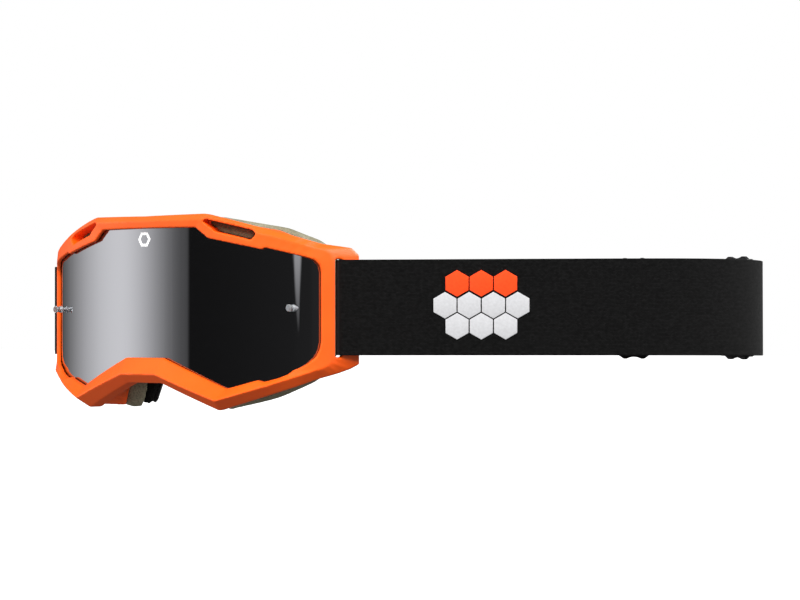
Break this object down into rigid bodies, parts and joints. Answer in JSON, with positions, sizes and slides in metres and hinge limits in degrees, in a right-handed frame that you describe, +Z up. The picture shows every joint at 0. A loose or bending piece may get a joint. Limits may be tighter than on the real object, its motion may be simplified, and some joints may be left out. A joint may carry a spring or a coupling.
{
  "type": "motocross goggles",
  "caption": "Motocross goggles with a mirror lens in an orange frame, layered face foam and an elastic strap with sliders.",
  "frame": {"origin": "middle of the face seal's front, level with the middle of the strap", "axes": "+Y towards the wearer's face, +Z up, +X the wearer's left"},
  "size_m": [0.3505, 0.1855, 0.0946],
  "materials": {
    "orange_moulding": "satin injection moulding",
    "mirror_lens": "silver mirror coating on polycarbonate",
    "clear_post": "clear, glossy",
    "grey_foam": "open cell foam",
    "black_foam": "open cell foam",
    "black_fleece": "brushed fleece",
    "black_elastic": "woven elastic",
    "black_nylon": "satin",
    "black_silicone": "glossy printed lines",
    "orange_print": "raised rubber print",
    "white_print": "raised rubber print"
  },
  "bodies": {
    "goggles": {"front_frame": "orange_moulding", "rear_frame": "orange_moulding", "lens": "mirror_lens", "tear_off_post_left": "clear_post", "tear_off_post_right": "clear_post", "post_cap_left": "clear_post", "post_cap_right": "clear_post", "face_foam_base": "grey_foam", "face_foam_middle": "black_foam", "face_fleece": "black_fleece", "brow_vent_foam_left": "grey_foam", "brow_vent_foam_right": "grey_foam", "upper_slot_foam_left": "grey_foam", "upper_slot_foam_right": "grey_foam", "lower_slot_foam_left": "grey_foam", "lower_slot_foam_right": "grey_foam", "strap_band_left": "black_elastic", "strap_band_right": "black_elastic", "strap_end_left": "black_elastic", "strap_end_right": "black_elastic", "badge_orange": "orange_print", "badge_white": "white_print", "grip_line_upper": "black_silicone", "grip_line_middle": "black_silicone", "grip_line_lower": "black_silicone"},
    "slider_a": {"slider_a": "black_nylon"},
    "slider_b": {"slider_b": "black_nylon"}
  },
  "joints": [
    {"name": "slider_a_slide", "type": "hinge", "parent": "goggles", "child": "slider_a", "pos_m": [0.2232, 0.1085, 0], "axis": [0, 0, 1], "range_deg": [-56, 14], "deforming": ["strap_end_right"]},
    {"name": "slider_b_slide", "type": "slide", "parent": "goggles", "child": "slider_b", "axis": [-0.9613, -0.2756, 0], "range_m": [-0.012, 0.15], "deforming": ["strap_end_left"]}
  ]
}
